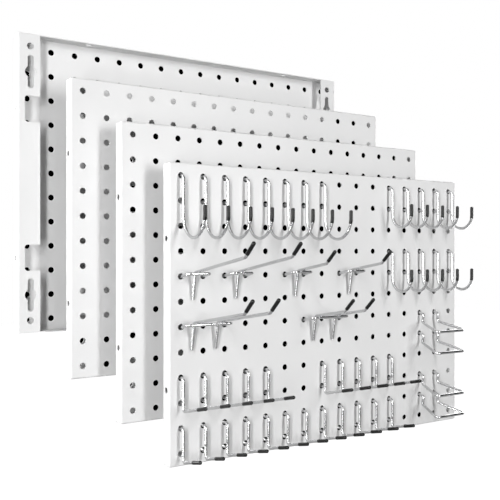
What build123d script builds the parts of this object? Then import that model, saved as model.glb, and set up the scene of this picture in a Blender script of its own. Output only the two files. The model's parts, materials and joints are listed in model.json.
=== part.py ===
"""Pegboard tool wall: four perforated steel panels, the front one carrying fifty wire hooks.

Millimetres, +X to the right, +Y into the wall, +Z up. The origin is the middle of the front
panel's four wall-screw holes, on the back plane of its flanges.
"""

import os
from math import cos, radians, sin

from build123d import *

os.makedirs("parts", exist_ok=True)

# ---------------------------------------------------------------- panels
PITCH = 25.4  # peg hole to peg hole, both ways
COLUMNS = 16
ROWS = 12
EDGE_MARGIN = 12.7  # panel edge to the nearest line of peg holes
PEG_HOLE_D = 6.35
SHEET = 1.0  # steel thickness
TRAY_DEPTH = 15.0  # face to the back of the flanges
FOLD_R = 1.8  # outside radius of every fold
FLANGE_W = 22.6  # panel edge to the flange's free edge
FLANGE_END_H = 63.2  # panel edge to the notch
NOTCH_H = 26.8
NOTCH_LAND = 7.0  # strip of flange left beside the notch
NOTCH_R = 3.0
WALL_HOLE_D = 7.0
WALL_HOLE_INSET = 12.7  # from both edges
KEYHOLE_INSET_X = 12.9  # panel edge to the keyhole's middle
KEYHOLE_INSET_Z = 38.7
KEYHOLE_SLOT_L = 33.8
KEYHOLE_SLOT_W = 6.0
KEYHOLE_ROUND_D = 11.6
JOIN_HOLE_D = 6.0  # screw holes in the edge walls, for panel beside panel
JOIN_HOLE_INSET = 76.2  # panel corner to the join hole

# Where each other panel's nearest plane stands, from the middle of the front panel's face
SECOND_STEP = Vector(-38.4, 31.2, 42.0)
THIRD_STEP = Vector(-80.5, 60.4, 86.7)
REAR_STEP = Vector(-124.9, 90.9, 132.7)

# ---------------------------------------------------------------- wire and caps
WIRE_D = 3.2
PEG_D = 3.0  # short lower peg, welded to the stem, one pitch below the prong
STEM_OUT = 6.0  # stem's centre line to the panel's face
PRONG_BACK = 5.2  # prong's upright end to the panel's face, behind it
PRONG_UP = 9.0
PRONG_R = 3.4
SHOULDER_R = 3.8  # bend from the prong into the stem
PEG_BACK = 3.0  # how far the lower peg reaches behind the face
J_HANG = 0.5  # how far the J-hooks' prongs lie below their holes' middle
CAP_WALL = 0.27
CAP_FIT = 0.05  # radial gap between cap and wire
CAP_CROWN = 1.6  # vinyl beyond the wire's end
CAP_CROWN_R = 1.5

LARGE_J_BELOW = 14.6  # lower peg to the bow's centre
LARGE_J_R = 22.5
LARGE_J_RISE = 6.7  # straight wire past the bow
SMALL_J_BELOW = 5.6
SMALL_J_R = 16.2
SMALL_J_RISE = 8.6
J_CAP_L = 14.4

L_BELOW = 7.6  # lower peg to the L-hook's corner
L_CORNER_R = 2.8
L_RISE_DEG = 13.8
LONG_L_ARM = 47.3
SHORT_L_ARM = 36.3
L_CAP_L = 16.5

CROSSBAR_OUT = 16.2  # crossbar to the panel's face, along the prongs
CROSSBAR_R = 4.0
CROSSBAR_TILT_DEG = 10.2
FOOT_GAP = 0.3  # foot of the leg to the panel's face
FOOT_DROP = 23.5
KNEE_OUT = 6.8
KNEE_UP = 4.0
KNEE_R = 3.2
ARM_RISE_DEG = 9.3
LONG_ARM_REACH = 103.0  # panel's face to the arm's bend
SHORT_ARM_REACH = 57.3
TIP_RISE_DEG = 42.0
TIP_L = 18.6
TIP_R = 4.0
ARM_CAP_L = 16.0
ARM_SPACING = 27.6  # between the two arms of a double hook

LOOP_DROOP_DEG = 14.3
LOOP_SHOULDER_OUT = 7.5
LOOP_LEG = 9.8
LOOP_REACH = 36.2
LOOP_FRONT_W = 48.0
LOOP_PRONG_BACK = 5.8
LOOP_BEND_R = 3.0
LOOP_FRONT_R = 3.6

# ---------------------------------------------------------------- which hook hangs where
# Columns count from the left and rows from the top, both from 0.
LARGE_J_ROW = 0
LARGE_J_COLUMNS = range(8)
SMALL_J_ROWS = {"upper": 0, "lower": 3}
SMALL_J_COLUMNS = range(11, 16)
SINGLE_ARM_ROW = 4
SINGLE_ARMS = [
    ("a", 0, LONG_ARM_REACH),
    ("b", 2, LONG_ARM_REACH),
    ("c", 5, SHORT_ARM_REACH),
    ("d", 8, SHORT_ARM_REACH),
]
DOUBLE_ARM_ROW = 6
DOUBLE_ARMS = [("left", 0, LONG_ARM_REACH), ("right", 6, SHORT_ARM_REACH)]
L_ROWS = [
    ("middle_left", range(5), 8, LONG_L_ARM),
    ("middle_right", range(7, 12), 8, LONG_L_ARM),
    ("bottom", range(12), 10, SHORT_L_ARM),
]
LOOP_ROWS = [6, 7, 9, 10]
LOOP_COLUMN = 13

# ---------------------------------------------------------------- worked out
WIDTH = (COLUMNS - 1) * PITCH + 2 * EDGE_MARGIN
HEIGHT = (ROWS - 1) * PITCH + 2 * EDGE_MARGIN
WIRE_R = WIRE_D / 2
CAP_D = WIRE_D + 2 * (CAP_FIT + CAP_WALL)


def hole(column, row):
    """Middle of a peg hole on the front panel's face, counted from its top left corner."""
    x = (column - (COLUMNS - 1) / 2) * PITCH
    z = ((ROWS - 1) / 2 - row) * PITCH
    return Vector(x, -TRAY_DEPTH, z)


def wire_point(out, up, across=0.0, tilt_deg=0.0):
    """A point of a hook: out from its hole, up, and across, turned about the hole by tilt."""
    turn = radians(tilt_deg)
    return Vector(across, -(out * cos(turn) - up * sin(turn)), out * sin(turn) + up * cos(turn))


def ray(start, rise_deg, length):
    """The point a length away from start, outward and rising by an angle."""
    return start + wire_point(length, 0, tilt_deg=rise_deg)


def write(label, piece):
    """Name a finished piece and write its file."""
    piece.part.label = label
    export_step(piece.part, f"parts/{label}.step")



# ---------------------------------------------------------------- panels
def tray_block(plane, sink):
    """The tray's outline as a solid block, every face sunk by the same distance."""
    outward = Axis(plane.origin, plane.z_dir)
    with BuildPart() as block:
        with BuildSketch(plane.offset(-sink)):
            Rectangle(WIDTH - 2 * sink, HEIGHT - 2 * sink)
        extrude(amount=-(TRAY_DEPTH - 2 * sink))
        ends = block.faces().sort_by(outward)
        corners = block.edges().filter_by(Axis.Y)
        fillet(ends[-1].edges() + ends[0].edges().filter_by(Axis.Z) + corners, FOLD_R - sink)
    return block.part


def make_panel(label, plane):
    """One folded tray. The plane lies on its perforated face and looks out of it."""
    outer = tray_block(plane, 0)
    inner = tray_block(plane, SHEET)
    back = plane.offset(-TRAY_DEPTH)
    middle = plane.offset(-TRAY_DEPTH / 2).origin
    notch_w = FLANGE_W - NOTCH_LAND
    with BuildPart() as panel:
        add(outer)
        add(inner, mode=Mode.SUBTRACT)
        with BuildSketch(back):
            # open back, with half of each rounded notch in it
            Rectangle(WIDTH - 2 * FLANGE_W, HEIGHT - 2 * SHEET)
            with GridLocations(WIDTH - 2 * FLANGE_W, HEIGHT - 2 * FLANGE_END_H - NOTCH_H, 2, 2):
                RectangleRounded(2 * notch_w, NOTCH_H, NOTCH_R)
            with GridLocations(WIDTH - 2 * WALL_HOLE_INSET, HEIGHT - 2 * WALL_HOLE_INSET, 2, 2):
                Circle(WALL_HOLE_D / 2)
            with GridLocations(WIDTH - 2 * KEYHOLE_INSET_X, HEIGHT - 2 * KEYHOLE_INSET_Z, 2, 2):
                SlotOverall(KEYHOLE_SLOT_L, KEYHOLE_SLOT_W, rotation=90)
                Circle(KEYHOLE_ROUND_D / 2)
        extrude(amount=SHEET, mode=Mode.SUBTRACT)
        with BuildSketch(plane):
            with GridLocations(PITCH, PITCH, COLUMNS, ROWS):
                Circle(PEG_HOLE_D / 2)
        extrude(amount=-SHEET, mode=Mode.SUBTRACT)
        # join holes, through both walls of each pair
        with BuildSketch(Plane(middle, x_dir=(0, 0, 1), z_dir=(1, 0, 0))):
            with GridLocations(HEIGHT - 2 * JOIN_HOLE_INSET, 0, 2, 1):
                Circle(JOIN_HOLE_D / 2)
        extrude(amount=WIDTH / 2, both=True, mode=Mode.SUBTRACT)
        with BuildSketch(Plane(middle, x_dir=(1, 0, 0), z_dir=(0, 0, 1))):
            with GridLocations(WIDTH - 2 * JOIN_HOLE_INSET, 0, 2, 1):
                Circle(JOIN_HOLE_D / 2)
        extrude(amount=HEIGHT / 2, both=True, mode=Mode.SUBTRACT)
    write(label, panel)


def make_panels():
    """Three panels face forward, and the rear one is turned round to show its back."""
    face = Vector(0, -TRAY_DEPTH, 0)
    forward = (0, -1, 0)
    make_panel("front_panel", Plane(face, x_dir=(1, 0, 0), z_dir=forward))
    make_panel("second_panel", Plane(face + SECOND_STEP, x_dir=(1, 0, 0), z_dir=forward))
    make_panel("third_panel", Plane(face + THIRD_STEP, x_dir=(1, 0, 0), z_dir=forward))
    rear_face = face + REAR_STEP + Vector(0, TRAY_DEPTH, 0)
    make_panel("rear_panel", Plane(rear_face, x_dir=(-1, 0, 0), z_dir=(0, 1, 0)))


# ---------------------------------------------------------------- wire and caps
# Each pattern hook is made at the origin, as if its hole's middle on the face were there.
def wire_along(path, diameter=WIRE_D, mode=Mode.ADD):
    """Round wire along a path, in the current part."""
    with BuildSketch(Plane(path @ 0, z_dir=path % 0)) as section:
        Circle(diameter / 2)
    sweep(section.sketch, path, mode=mode)


def lower_peg():
    """The short peg that steadies a hook in the hole below its prong, in the current part."""
    with BuildSketch(Plane(wire_point(STEM_OUT, -PITCH), z_dir=(0, 1, 0))) as section:
        Circle(PEG_D / 2)
    extrude(section.sketch, amount=STEM_OUT + PEG_BACK)


def cap_over(sleeve, tip, aim):
    """A vinyl cap over the sleeve line, open at its start and closed past the wire's tip."""
    with BuildPart() as cap:
        wire_along(sleeve, CAP_D)
        with BuildSketch(Plane(tip, z_dir=aim)):
            Circle(CAP_D / 2)
        extrude(amount=CAP_CROWN)
        crown = cap.faces().sort_by_distance(tip + aim * CAP_CROWN)[0]
        fillet(crown.edges(), CAP_CROWN_R)
        wire_along(sleeve, WIRE_D + 2 * CAP_FIT, Mode.SUBTRACT)
    return cap.part


def straight_cap(before, tip, length):
    """The cap on a wire whose last straight stretch runs from before to tip."""
    aim = (tip - before).normalized()
    with BuildLine() as sleeve:
        Line(tip - aim * (length - CAP_CROWN), tip)
    return cap_over(sleeve.wire(), tip, aim)


# ---------------------------------------------------------------- pattern hooks
def j_pattern(below, bow_r, rise):
    """Stem, round bow and short upright tip, with its cap."""
    drop = PITCH + below
    stem_end = wire_point(STEM_OUT, -drop)
    bow_end = wire_point(STEM_OUT + 2 * bow_r, -drop)
    tip = bow_end + wire_point(0, rise)
    with BuildPart() as hook:
        with BuildLine() as path:
            FilletPolyline(
                wire_point(-PRONG_BACK, PRONG_UP),
                wire_point(-PRONG_BACK, 0),
                wire_point(STEM_OUT, 0),
                stem_end,
                radius=[PRONG_R, SHOULDER_R],
            )
            ThreePointArc(stem_end, wire_point(STEM_OUT + bow_r, -drop - bow_r), bow_end)
            Line(bow_end, tip)
        wire_along(path.wire())
        lower_peg()
    # the cap covers the tip and the end of the bow
    lap = (J_CAP_L - CAP_CROWN - rise) / bow_r
    centre = wire_point(STEM_OUT + bow_r, -drop)
    with BuildLine() as sleeve:
        ThreePointArc(
            centre + wire_point(bow_r * cos(lap), -bow_r * sin(lap)),
            centre + wire_point(bow_r * cos(lap / 2), -bow_r * sin(lap / 2)),
            bow_end,
        )
        Line(bow_end, tip)
    return hook.part, cap_over(sleeve.wire(), tip, Vector(0, 0, 1))


def l_pattern(arm):
    """Stem and one straight rising arm, with its cap."""
    corner = wire_point(STEM_OUT, -PITCH - L_BELOW)
    tip = ray(corner, L_RISE_DEG, arm)
    with BuildPart() as hook:
        with BuildLine() as path:
            FilletPolyline(
                wire_point(-PRONG_BACK, PRONG_UP),
                wire_point(-PRONG_BACK, 0),
                wire_point(STEM_OUT, 0),
                corner,
                tip,
                radius=[PRONG_R, SHOULDER_R, L_CORNER_R],
            )
        wire_along(path.wire())
        lower_peg()
    return hook.part, straight_cap(corner, tip, L_CAP_L)


def arm_pattern(pitches, reach):
    """A crossbar on two prongs, with one arm for each pitch between them, and the arms' caps."""
    half = pitches * PITCH / 2
    tilt = CROSSBAR_TILT_DEG
    foot = wire_point(WIRE_R + FOOT_GAP, -FOOT_DROP)
    knee = wire_point(KNEE_OUT, KNEE_UP)
    bend = ray(knee, ARM_RISE_DEG, (reach - KNEE_OUT) / cos(radians(ARM_RISE_DEG)))
    tip = ray(bend, TIP_RISE_DEG, TIP_L)
    with BuildPart() as hook:
        with BuildLine() as crossbar:
            FilletPolyline(
                wire_point(-PRONG_BACK, PRONG_UP, -half, tilt),
                wire_point(-PRONG_BACK, 0, -half, tilt),
                wire_point(CROSSBAR_OUT, 0, -half, tilt),
                wire_point(CROSSBAR_OUT, 0, half, tilt),
                wire_point(-PRONG_BACK, 0, half, tilt),
                wire_point(-PRONG_BACK, PRONG_UP, half, tilt),
                radius=[PRONG_R, CROSSBAR_R, CROSSBAR_R, PRONG_R],
            )
        wire_along(crossbar.wire())
        for arm in range(pitches):
            shift = Vector((arm - (pitches - 1) / 2) * ARM_SPACING, 0, 0)
            with BuildLine() as path:
                FilletPolyline(
                    foot + shift, knee + shift, bend + shift, tip + shift, radius=[KNEE_R, TIP_R]
                )
            wire_along(path.wire())
    cap = straight_cap(bend, tip, ARM_CAP_L)
    with BuildPart() as caps:
        with GridLocations(ARM_SPACING, 0, pitches, 1):
            add(cap)
    return hook.part, caps.part


def loop_pattern():
    """One bent wire: two prongs, two short legs and a loop that widens to its front bar."""
    half = PITCH / 2
    front = LOOP_SHOULDER_OUT + LOOP_REACH
    side = [
        (-LOOP_PRONG_BACK, PRONG_UP, half),
        (-LOOP_PRONG_BACK, 0, half),
        (LOOP_SHOULDER_OUT, 0, half),
        (LOOP_SHOULDER_OUT, -LOOP_LEG, half),
        (front, -LOOP_LEG, LOOP_FRONT_W / 2),
    ]
    left = [wire_point(out, up, -across, -LOOP_DROOP_DEG) for out, up, across in side]
    right = [wire_point(out, up, across, -LOOP_DROOP_DEG) for out, up, across in side]
    bends = [PRONG_R, LOOP_BEND_R, LOOP_BEND_R, LOOP_FRONT_R]
    with BuildPart() as loop:
        with BuildLine() as path:
            FilletPolyline(*left, *right[::-1], radius=bends + bends[::-1])
        wire_along(path.wire())
    return loop.part


# ---------------------------------------------------------------- hooks on the panel


def hang(label, pattern, columns, row, lift=0.0):
    """Copies of a pattern in the given columns of one row, as one piece."""
    with BuildPart() as piece:
        with Locations(*[hole(column, row) + Vector(0, 0, lift) for column in columns]):
            add(pattern)
    write(label, piece)


def make_j_hooks():
    hook, cap = j_pattern(LARGE_J_BELOW, LARGE_J_R, LARGE_J_RISE)
    for column in LARGE_J_COLUMNS:
        hang(f"large_j_hook_{column + 1}", hook, [column], LARGE_J_ROW, -J_HANG)
        hang(f"large_j_cap_{column + 1}", cap, [column], LARGE_J_ROW, -J_HANG)
    hook, cap = j_pattern(SMALL_J_BELOW, SMALL_J_R, SMALL_J_RISE)
    for name, row in SMALL_J_ROWS.items():
        hang(f"small_j_hooks_{name}", hook, SMALL_J_COLUMNS, row, -J_HANG)
        hang(f"small_j_caps_{name}", cap, SMALL_J_COLUMNS, row, -J_HANG)


def make_arm_hooks():
    for name, column, reach in SINGLE_ARMS:
        hook, cap = arm_pattern(1, reach)
        hang(f"arm_hook_{name}", hook, [column + 0.5], SINGLE_ARM_ROW)
        hang(f"arm_cap_{name}", cap, [column + 0.5], SINGLE_ARM_ROW)
    for name, column, reach in DOUBLE_ARMS:
        hook, caps = arm_pattern(2, reach)
        hang(f"double_arm_hook_{name}", hook, [column + 1], DOUBLE_ARM_ROW)
        hang(f"double_arm_caps_{name}", caps, [column + 1], DOUBLE_ARM_ROW)


def make_l_hooks():
    for name, columns, row, arm in L_ROWS:
        hook, cap = l_pattern(arm)
        hang(f"l_hooks_{name}", hook, columns, row)
        hang(f"l_caps_{name}", cap, columns, row)


def make_loops():
    loop = loop_pattern()
    for number, row in enumerate(LOOP_ROWS, 1):
        hang(f"wire_loop_{number}", loop, [LOOP_COLUMN + 0.5], row)


make_panels()
make_j_hooks()
make_arm_hooks()
make_l_hooks()
make_loops()
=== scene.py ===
"""Looks of the pegboard tool wall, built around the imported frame. Lengths are in metres."""

import json
import math

import bpy
from mathutils import Euler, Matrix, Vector


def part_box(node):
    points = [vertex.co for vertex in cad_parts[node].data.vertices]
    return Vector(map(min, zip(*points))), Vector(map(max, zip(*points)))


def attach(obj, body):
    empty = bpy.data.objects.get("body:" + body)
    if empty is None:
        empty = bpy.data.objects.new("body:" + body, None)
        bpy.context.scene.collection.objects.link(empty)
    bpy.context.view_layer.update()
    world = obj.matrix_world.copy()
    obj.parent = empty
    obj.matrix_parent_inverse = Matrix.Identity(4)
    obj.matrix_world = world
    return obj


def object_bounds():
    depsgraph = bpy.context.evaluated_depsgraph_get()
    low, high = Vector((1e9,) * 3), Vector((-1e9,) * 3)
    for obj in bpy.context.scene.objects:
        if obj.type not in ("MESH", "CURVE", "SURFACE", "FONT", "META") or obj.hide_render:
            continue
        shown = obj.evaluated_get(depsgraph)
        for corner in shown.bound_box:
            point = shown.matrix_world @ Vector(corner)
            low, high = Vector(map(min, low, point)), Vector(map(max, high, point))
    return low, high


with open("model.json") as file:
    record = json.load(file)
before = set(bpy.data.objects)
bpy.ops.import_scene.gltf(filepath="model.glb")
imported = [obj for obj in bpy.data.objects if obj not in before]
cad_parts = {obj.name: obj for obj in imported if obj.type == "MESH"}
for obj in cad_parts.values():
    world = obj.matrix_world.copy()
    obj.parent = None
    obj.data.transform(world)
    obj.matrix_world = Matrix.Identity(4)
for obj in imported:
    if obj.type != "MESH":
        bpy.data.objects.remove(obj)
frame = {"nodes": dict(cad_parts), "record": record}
CAD_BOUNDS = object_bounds()

# ------------------------------------------------------------------ camera
CAMERA_FROM_FACE = Vector((-0.5187, -0.6559, 0.0635))  # from the middle of the front face
CAMERA_TURN = math.radians(32.01)  # from +Y towards +X
LENS_MM = 52.41
HORIZON_SHIFT = 0.0024


def face_middle(node):
    """Middle of the side of a node's box that looks towards -Y."""
    low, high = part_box(node)
    return Vector(((low.x + high.x) / 2, low.y, (low.z + high.z) / 2))


def make_camera():
    data = bpy.data.cameras.new("camera")
    data.lens = LENS_MM
    data.shift_y = HORIZON_SHIFT
    data.clip_start = 0.01
    camera = bpy.data.objects.new("camera", data)
    camera.location = face_middle("front_panel") + CAMERA_FROM_FACE
    camera.rotation_euler = Euler((math.radians(90), 0, -CAMERA_TURN))
    bpy.context.scene.collection.objects.link(camera)
    bpy.context.scene.camera = camera


# ------------------------------------------------------------------ studio
PANELS = ["front_panel", "second_panel", "third_panel", "rear_panel"]  # from the front to the back
FLOOR_BELOW = 0.45  # the object hangs this far above the floor
FLOOR_SIZE = 12.0
ROOM_FILL = 0.005
ROOM_MIRRORED = 1.3
FLOOR_MIRRORED = 0.3
CARD_GAP = 0.001  # gap from the painted-shade dark card to the steel in front of it
CARD_INSET = 0.003
STEEPEST_LOOK = math.radians(45)  # of the lines of sight through the holes, from straight ahead
STRIPS = [  # name, bearing in degrees, distance, height above the aim, (width, height), watts
    ("left_strip", -52, 1.3, 0.25, (0.20, 1.6), 13.7),  # the key light
    ("right_strip", 17, 1.4, 0.35, (0.22, 1.2), 15.2),  # fills the faces from the front
    ("side_strip", -96, 1.2, 0.1, (0.06, 1.6), 12),  # the left edge walls, past the faces
    ("far_side_strip", 112, 1.6, 0.2, (0.5, 1.6), 17),  # the right edge walls and the backs
    ("back_strip", 200, 1.7, 0.3, (0.6, 1.6), 18),  # the backs
]
MIRRORED_GREYS = [  # place along X, from 0 at the far left to 1 at the far right, and grey
    (0.0, 1.0),
    (0.36, 1.0),
    (0.46, 0.5),
    (0.56, 0.5),
    (0.62, 0.04),
    (0.97, 0.04),
    (1.0, 0.5),
]


def strip_light(name, bearing_deg, distance, height, size, watts):
    """A softbox that faces the front panel. Bearing 0 is straight in front, positive to the right."""
    data = bpy.data.lights.new(name, "AREA")
    data.shape = "RECTANGLE"
    data.size, data.size_y = size
    data.energy = watts
    light = bpy.data.objects.new(name, data)
    aim = face_middle("front_panel")
    turn = math.radians(bearing_deg)
    light.location = aim + Vector((math.sin(turn), -math.cos(turn), 0)) * distance
    light.location.z = aim.z + height
    light.rotation_euler = (aim - light.location).to_track_quat("-Z", "Y").to_euler()
    bpy.context.scene.collection.objects.link(light)


def make_world():
    """White to the camera, almost dark as light, and mirrored as a room with a bright left half."""
    world = bpy.data.worlds.new("studio")
    bpy.context.scene.world = world
    world.use_nodes = True
    tree = world.node_tree
    tree.nodes.clear()

    def background(strength):
        shader = tree.nodes.new("ShaderNodeBackground")
        shader.inputs["Strength"].default_value = strength
        return shader

    def mix(factor, without, within):
        shader = tree.nodes.new("ShaderNodeMixShader")
        tree.links.new(factor, shader.inputs[0])
        tree.links.new(without.outputs[0], shader.inputs[1])
        tree.links.new(within.outputs[0], shader.inputs[2])
        return shader

    backdrop, fill, mirrored = background(1.0), background(ROOM_FILL), background(ROOM_MIRRORED)
    backdrop.inputs["Color"].default_value = (1, 1, 1, 1)
    fill.inputs["Color"].default_value = (1, 1, 1, 1)
    coordinates = tree.nodes.new("ShaderNodeTexCoord")
    split = tree.nodes.new("ShaderNodeSeparateXYZ")
    place = tree.nodes.new("ShaderNodeMapRange")
    place.inputs["From Min"].default_value = -1.0
    ramp = tree.nodes.new("ShaderNodeValToRGB")
    tree.links.new(coordinates.outputs["Generated"], split.inputs[0])
    tree.links.new(split.outputs["X"], place.inputs["Value"])
    tree.links.new(place.outputs[0], ramp.inputs[0])
    tree.links.new(ramp.outputs[0], mirrored.inputs["Color"])
    stops = ramp.color_ramp.elements
    first, *middle, last = MIRRORED_GREYS
    for stop, (_, grey) in zip(stops, (first, last)):
        stop.color = (grey, grey, grey, 1)
    for where, grey in middle:
        stops.new(where).color = (grey, grey, grey, 1)
    path = tree.nodes.new("ShaderNodeLightPath")
    room = mix(path.outputs["Is Glossy Ray"], fill, mirrored)
    seen = mix(path.outputs["Is Camera Ray"], room, backdrop)
    out = tree.nodes.new("ShaderNodeOutputWorld")
    tree.links.new(seen.outputs[0], out.inputs[0])


def make_floor():
    """Pale paper under the object, as white as the backdrop where it is seen."""
    low, _ = CAD_BOUNDS
    bpy.ops.mesh.primitive_plane_add(size=FLOOR_SIZE, location=(0, 0, low[2] - FLOOR_BELOW))
    floor = bpy.context.object
    floor.name = "floor"
    material = bpy.data.materials.new("floor_paper")
    material.use_nodes = True
    tree = material.node_tree
    shader = tree.nodes["Principled BSDF"]
    shader.inputs["Base Color"].default_value = (0.15, 0.15, 0.15, 1)
    shader.inputs["Roughness"].default_value = 0.9
    shader.inputs["Emission Color"].default_value = (1, 1, 1, 1)
    path = tree.nodes.new("ShaderNodeLightPath")
    glow = tree.nodes.new("ShaderNodeMath")
    glow.operation = "MULTIPLY_ADD"
    glow.inputs[1].default_value = FLOOR_MIRRORED
    tree.links.new(path.outputs["Is Glossy Ray"], glow.inputs[0])
    tree.links.new(path.outputs["Is Camera Ray"], glow.inputs[2])
    tree.links.new(glow.outputs[0], shader.inputs["Emission Strength"])
    floor.data.materials.append(material)


def painted_shade_card():
    """Painted shade: black where it is seen from the front; clear from behind and for light."""
    material = bpy.data.materials.new("painted_shade_card")
    material.use_nodes = True
    tree = material.node_tree
    tree.nodes.clear()
    # painted shade: black seen by the camera on the card's front side
    black = tree.nodes.new("ShaderNodeEmission")
    black.inputs["Strength"].default_value = 0.0
    clear = tree.nodes.new("ShaderNodeBsdfTransparent")
    side = tree.nodes.new("ShaderNodeNewGeometry")
    path = tree.nodes.new("ShaderNodeLightPath")
    by_side = tree.nodes.new("ShaderNodeMixShader")
    tree.links.new(side.outputs["Backfacing"], by_side.inputs[0])
    tree.links.new(black.outputs[0], by_side.inputs[1])
    tree.links.new(clear.outputs[0], by_side.inputs[2])
    when_seen = tree.nodes.new("ShaderNodeMixShader")
    tree.links.new(path.outputs["Is Camera Ray"], when_seen.inputs[0])
    tree.links.new(clear.outputs[0], when_seen.inputs[1])
    tree.links.new(by_side.outputs[0], when_seen.inputs[2])
    out = tree.nodes.new("ShaderNodeOutputMaterial")
    tree.links.new(when_seen.outputs[0], out.inputs[0])
    return material


def hang_card(name, panel, material, x_range, y, z_range):
    """A staged rectangle of painted shade that faces the camera's side, -Y, and moves with a panel.
    """
    (left, right), (low, high) = x_range, z_range
    mesh = bpy.data.meshes.new(name)
    corners = [(left, y, low), (right, y, low), (right, y, high), (left, y, high)]
    mesh.from_pydata(corners, [], [(0, 1, 2, 3)])
    mesh.materials.append(material)
    card = bpy.data.objects.new(name, mesh)
    bpy.context.scene.collection.objects.link(card)
    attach(card, panel)


def paint_shade_behind_holes():
    """Black cards of painted shade behind the holes, standing in for the shade there, so the holes
    look dark though the backdrop is white.

    Through the third panel's holes the rear panel shows, so its cards stand only where a line of
    sight would miss the rear panel.
    """
    # painted shade: the black card material for every card behind the holes
    material = painted_shade_card()
    for name in PANELS:
        low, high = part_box(name)
        y = high.y + CARD_GAP
        wide = (low.x + CARD_INSET, high.x - CARD_INSET)
        tall = (low.z + CARD_INSET, high.z - CARD_INSET)
        if name == "third_panel":
            rear_low, rear_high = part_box("rear_panel")
            reach = (rear_low.y - y) * math.tan(STEEPEST_LOOK)
            beside = (rear_high.x - reach, wide[1])
            below = (tall[0], rear_low.z)
            hang_card(name + "_card_right", name, material, beside, y, tall)
            hang_card(name + "_card_low", name, material, wide, y, below)
        else:
            hang_card(name + "_card", name, material, wide, y, tall)


def make_studio():
    bpy.context.scene.view_settings.view_transform = "Standard"
    make_world()
    make_floor()
    # black cards behind the holes, as painted shade
    paint_shade_behind_holes()
    for name, bearing_deg, distance, height, size, watts in STRIPS:
        strip_light(name, bearing_deg, distance, height, size, watts)


# ------------------------------------------------------------------ materials
class Recipe:
    """A new node material and short ways to add and link its nodes."""

    def __init__(self, name, **sockets):
        self.material = bpy.data.materials.new(name)
        self.material.use_nodes = True
        self.tree = self.material.node_tree
        self.shader = self.tree.nodes["Principled BSDF"]
        self.fill_in(self.shader, sockets)

    @staticmethod
    def fill_in(node, sockets):
        """Set a node's sockets, given as specular_ior_level for Specular IOR Level, and so on."""
        for socket, value in sockets.items():
            label = socket.replace("_", " ").title().replace("Ior", "IOR")
            node.inputs[label].default_value = value

    def node(self, kind, **sockets):
        node = self.tree.nodes.new("ShaderNode" + kind)
        self.fill_in(node, sockets)
        return node

    def link(self, output, target):
        self.tree.links.new(output, target)

    def noise(self, scale, detail):
        """Noise in the object's own space, at a scale in cycles per metre."""
        place = self.node("TexCoord")
        noise = self.node("TexNoise", scale=scale, detail=detail)
        self.link(place.outputs["Object"], noise.inputs["Vector"])
        return noise.outputs["Fac"]

    def ramp(self, factor, start, end):
        """From one tone to another; each end is a place on the factor and a grey or a colour."""
        ramp = self.node("ValToRGB")
        self.link(factor, ramp.inputs[0])
        for element, (place, tone) in zip(ramp.color_ramp.elements, (start, end)):
            element.position = place
            element.color = self.colour(tone)
        return ramp.outputs[0]

    @staticmethod
    def colour(tone):
        return (*tone, 1) if isinstance(tone, tuple) else (tone, tone, tone, 1)

    def bump(self, height, distance, strength):
        bump = self.node("Bump", distance=distance, strength=strength)
        self.link(height, bump.inputs["Height"])
        self.link(bump.outputs[0], self.shader.inputs["Normal"])


def powder_coat():
    """Satin white powder coat: fine orange peel, with faint unevenness in tone and gloss."""
    paint = Recipe("powder_coat", specular_ior_level=0.2)
    tone = paint.ramp(paint.noise(9, 3), (0.3, 0.70), (0.7, 0.73))
    paint.link(tone, paint.shader.inputs["Base Color"])
    gloss = paint.ramp(paint.noise(60, 4), (0.3, 0.34), (0.7, 0.44))
    paint.link(gloss, paint.shader.inputs["Roughness"])
    paint.bump(paint.noise(900, 3), 0.00006, 0.5)
    return paint.material


def bright_wire():
    """Bright plated steel wire, with fine drawing marks and small changes in polish."""
    wire = Recipe("bright_wire", metallic=1.0)
    tone = wire.ramp(wire.noise(70, 3), (0.3, (0.56, 0.565, 0.57)), (0.7, (0.61, 0.61, 0.615)))
    wire.link(tone, wire.shader.inputs["Base Color"])
    gloss = wire.ramp(wire.noise(300, 3), (0.3, 0.14), (0.7, 0.18))
    wire.link(gloss, wire.shader.inputs["Roughness"])
    wire.bump(wire.noise(1500, 2), 0.000001, 0.3)
    return wire.material


def dipped_vinyl():
    """Glossy black dipped vinyl, with slow waves in its surface and a few duller patches."""
    vinyl = Recipe("dipped_vinyl", specular_ior_level=0.3)
    tone = vinyl.ramp(vinyl.noise(220, 3), (0.3, 0.003), (0.7, 0.008))
    vinyl.link(tone, vinyl.shader.inputs["Base Color"])
    gloss = vinyl.ramp(vinyl.noise(300, 3), (0.3, 0.07), (0.7, 0.11))
    vinyl.link(gloss, vinyl.shader.inputs["Roughness"])
    vinyl.bump(vinyl.noise(260, 2), 0.00001, 0.5)
    return vinyl.material


def dress_nodes():
    """Every CAD node keeps its shape and takes the material of its slot."""
    materials = {
        "panel_paint": powder_coat(),
        "wire_chrome": bright_wire(),
        "cap_vinyl": dipped_vinyl(),
    }
    slots = {part["node"]: part["material_slot"] for part in frame["record"]["subparts"]}
    for name, node in frame["nodes"].items():
        node.data.materials.clear()
        node.data.materials.append(materials[slots[name]])


make_camera()
make_studio()
dress_nodes()
